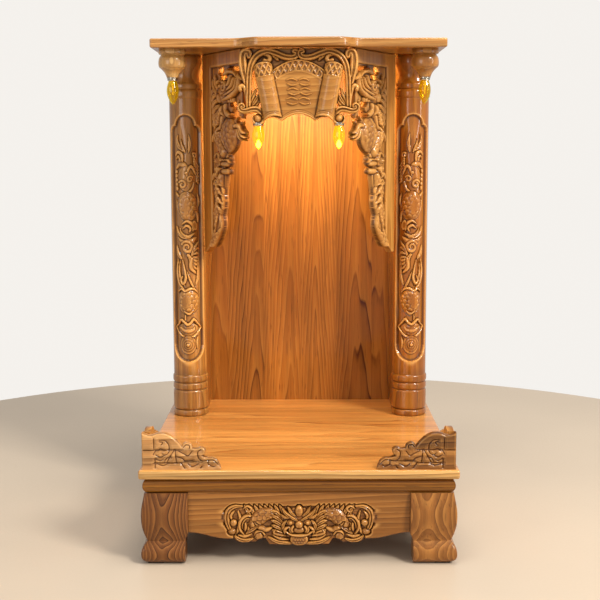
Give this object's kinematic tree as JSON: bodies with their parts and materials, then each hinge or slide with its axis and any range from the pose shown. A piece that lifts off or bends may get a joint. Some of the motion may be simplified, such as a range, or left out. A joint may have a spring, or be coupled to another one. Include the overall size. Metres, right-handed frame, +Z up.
{
  "type": "household altar cabinet",
  "caption": "Floor-standing household altar: carved legs and deck, two carved columns, a panelled back, pierced brackets, a scroll crest and lamps under a roof board.",
  "frame": {"origin": "on the floor, under the middle of the square deck", "axes": "+Z up; the open front faces -Y; +X to the right of someone facing it"},
  "size_m": [0.48, 0.48, 0.7985],
  "materials": {
    "deck_wood": "high-gloss lacquer over orange-brown hardwood",
    "frame_wood": "gloss lacquer over golden-brown hardwood",
    "carved_wood": "gloss lacquer over carved hardwood, darker in the recesses",
    "panel_wood": "satin lacquer over upright cathedral grain",
    "silver": "thin bright metal",
    "clear_yellow": "clear yellow glass",
    "pad_rubber": "matte black"
  },
  "bodies": {
    "root": {"apron_back": "frame_wood", "apron_front": "carved_wood", "apron_left": "frame_wood", "apron_right": "frame_wood", "back_panel": "panel_wood", "base_strip_back": "frame_wood", "base_strip_front": "frame_wood", "base_strip_left": "frame_wood", "base_strip_right": "frame_wood", "bulb_crest_left": "clear_yellow", "bulb_crest_right": "clear_yellow", "bulb_roof_left": "clear_yellow", "bulb_roof_right": "clear_yellow", "column_left": "carved_wood", "column_right": "carved_wood", "deck_board": "deck_wood", "foot_pad_back_left": "pad_rubber", "foot_pad_back_right": "pad_rubber", "foot_pad_front_left": "pad_rubber", "foot_pad_front_right": "pad_rubber", "leg_back_left": "frame_wood", "leg_back_right": "frame_wood", "leg_front_left": "frame_wood", "leg_front_right": "frame_wood", "pendant_left": "frame_wood", "pendant_right": "frame_wood", "rail_front_left": "carved_wood", "rail_front_right": "carved_wood", "rail_side_left": "carved_wood", "rail_side_right": "carved_wood", "roof_board": "deck_wood", "scroll_crest": "carved_wood", "side_wall_left": "frame_wood", "side_wall_right": "frame_wood", "socket_crest_left": "silver", "socket_crest_right": "silver", "socket_roof_left": "silver", "socket_roof_right": "silver", "wing_left": "carved_wood", "wing_right": "carved_wood"}
  },
  "joints": []
}
